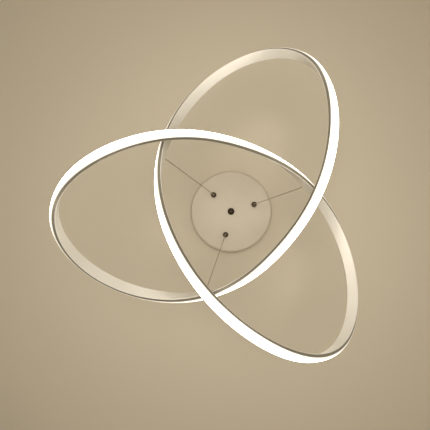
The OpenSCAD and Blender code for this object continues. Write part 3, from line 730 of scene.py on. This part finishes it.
for k in thirds:
    piece = copyPiece(terminalModel, f"wireTerminal{k}")
    moveMesh(piece, anchorPlace(k))
    finishPiece(piece, "knot", "band_paint", materials["band_paint"], f"wire_terminal_{k}")
bpy.data.objects.remove(terminalModel)
print("terminals done")


# suspension wires: six strands laid round a core, under a thin jacket, drawn straight from gripper
# to terminal; in use they shorten as the knot is raised

wire = {"radius": 0.7, "strands": 6, "pointsPerStrand": 5, "strandDip": 0.12, "strandShape": 0.7,
        "lay": 9.0, "stepsPerLay": 12, "smoothAngle": 50, "tailEnd": 0.4, "startGap": 0.45,
        "endGap": 0.15, "travel": 180}
exitZ = (-canopy["height"] + sleeve["low"]) * mm
ropePoints = wire["strands"] * wire["pointsPerStrand"]
ropeOutline = []
for i in range(ropePoints):
    a = 2 * math.pi * i / ropePoints
    bulge = abs(math.cos(a * wire["strands"] / 2))
    r = wire["radius"] - wire["strandDip"] * (1 - bulge ** wire["strandShape"])
    ropeOutline.append((r * math.cos(a), r * math.sin(a)))
for k in thirds:
    top = gripperPlace(k)
    top.z = exitZ - wire["tailEnd"] * mm
    ball = anchorPlace(k) @ Vector((0, 0, ballAt * mm))
    way = (ball - top).normalized()
    start = top + way * wire["startGap"] * mm
    length = (ball - start).length - (terminal["ballR"] + wire["endGap"]) * mm
    steps = int(length / mm / wire["lay"] * wire["stepsPerLay"])
    path = [start + way * length * i / steps for i in range(steps + 1)]
    tilts = [2 * math.pi * i / wire["stepsPerLay"] for i in range(steps + 1)]
    piece = sweep(f"suspensionWire{k}", ropeOutline, path, tilts)
    tidyMesh(piece, 0.002, wire["smoothAngle"])
    finishPiece(piece, "canopy", "wire_jacket", materials["wire_jacket"], f"suspension_wire_{k}")
    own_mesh(piece)
print("wires done")


# stage: a ceiling seen only from below, a pale floor, soft lamps and the camera

# colours, and sizes in metres but for ceilingGap in mm; a lift is what only the camera sees
stage = {"ceiling": "#b9ae98", "ceilingSize": 9, "ceilingGap": 0.6,
         "floor": "#efebe3", "floorSize": 60, "floorZ": -3.1, "floorLift": 0.15,
         "world": "#e9e4da", "worldStrength": 0.58, "worldLift": 0.15,
         "aim": (0, 0, -0.25), "spotCone": 40}


def seenDirectly(tree):
    # 1 for what the camera sees, also in gloss and through glass, and 0 for light on the object
    rays = addNode(tree, "ShaderNodeLightPath")
    seen = addNode(tree, "ShaderNodeMath", {"operation": "MAXIMUM"},
                   {0: rays.outputs["Is Camera Ray"], 1: rays.outputs["Is Transmission Ray"]})
    seen = addNode(tree, "ShaderNodeMath", {"operation": "MAXIMUM"},
                   {0: seen.outputs["Value"], 1: rays.outputs["Is Glossy Ray"]})
    return seen.outputs["Value"]


def stagePlane(name, size, height, material, facingUp):
    deselectAll()
    bpy.ops.mesh.primitive_plane_add(size=size, location=(0, 0, height),
                                     rotation=(0 if facingUp else math.pi, 0, 0))
    plane = bpy.context.object
    plane.name = name
    applyPlace(plane)
    plane.data.materials.append(material)


# the ceiling is clear from above and to the lamp over it
ceilingPaint, tree, shader = newMaterial("Matt ceiling paint", {
    "Roughness": 0.9, "Base Color": hexColor(stage["ceiling"])})
facing = addNode(tree, "ShaderNodeNewGeometry")
rays = addNode(tree, "ShaderNodeLightPath")
clear = addNode(tree, "ShaderNodeBsdfTransparent")
seenThrough = addNode(tree, "ShaderNodeMath", {"operation": "MAXIMUM"},
                      {0: facing.outputs["Backfacing"], 1: rays.outputs["Is Shadow Ray"]})
mixed = addNode(tree, "ShaderNodeMixShader", links={
    "Fac": seenThrough.outputs["Value"], 1: shader.outputs["BSDF"], 2: clear.outputs["BSDF"]})
tree.links.new(mixed.outputs["Shader"], tree.nodes["Material Output"].inputs["Surface"])
stagePlane("ceiling", stage["ceilingSize"], stage["ceilingGap"] * mm, ceilingPaint, False)

floorPaint, tree, shader = newMaterial("Pale floor", {
    "Roughness": 0.8, "Base Color": hexColor(stage["floor"]),
    "Emission Color": hexColor(stage["floor"])})
paler = addNode(tree, "ShaderNodeMath", {"operation": "MULTIPLY", 1: stage["floorLift"]},
                {0: seenDirectly(tree)})
tree.links.new(paler.outputs["Value"], shader.inputs["Emission Strength"])
stagePlane("floor", stage["floorSize"], stage["floorZ"], floorPaint, True)

world = bpy.data.worlds.new("studio")
scene.world = world
world.use_nodes = True
tree = world.node_tree
background = tree.nodes["Background"]
background.inputs["Color"].default_value = hexColor(stage["world"])
strength = addNode(tree, "ShaderNodeMath",
                   {"operation": "MULTIPLY_ADD", 1: stage["worldLift"], 2: stage["worldStrength"]},
                   {0: seenDirectly(tree)})
tree.links.new(strength.outputs["Value"], background.inputs["Strength"])

# name, kind, place and size in metres, watts and colour; the soft spot below gives the ceiling
# its gentle fall-off towards the corners
lights = (("below", "SPOT", (0.0, -0.1, -2.9), 0.8, 318, "#fffaf4"),
          ("key", "AREA", (-1.1, -1.3, -1.9), 1.4, 5, "#fffaf4"),
          ("fill", "AREA", (1.5, 0.9, -1.7), 1.6, 3, "#fffcf8"),
          ("top", "AREA", (0.4, -0.7, 1.6), 1.6, 30, "#ffffff"))
for name, kind, place, size, power, color in lights:
    data = bpy.data.lights.new(name, kind)
    data.energy = power
    data.color = hexColor(color)[:3]
    if kind == "SPOT":
        data.shadow_soft_size = size
        data.spot_size = math.radians(stage["spotCone"])
        data.spot_blend = 1.0
    else:
        data.size = size
    light = bpy.data.objects.new(name, data)
    light.location = place
    aim = Vector(stage["aim"]) - Vector(place)
    light.rotation_euler = aim.to_track_quat("-Z", "Y").to_euler()
    scene.collection.objects.link(light)

# place, lens and sensor in mm; nod and pan in radians away from straight up
eye = {"place": (5.4, 51.3, -1355.6), "nod": -0.0321, "pan": 0.0339, "lens": 45.042, "sensor": 36}
spin = Matrix.Rotation(math.hypot(eye["nod"], eye["pan"]), 3, Vector((eye["nod"], eye["pan"], 0)))
right, down, ahead = (spin.row[i].copy() for i in range(3))
cameraData = bpy.data.cameras.new("camera")
cameraData.lens = eye["lens"]
cameraData.sensor_width = eye["sensor"]
camera = bpy.data.objects.new("camera", cameraData)
camera.matrix_world = (Matrix.Translation(Vector(eye["place"]) * mm)
                       @ Matrix((right, -down, -ahead)).transposed().to_4x4())
scene.collection.objects.link(camera)
scene.camera = camera
print("stage done")
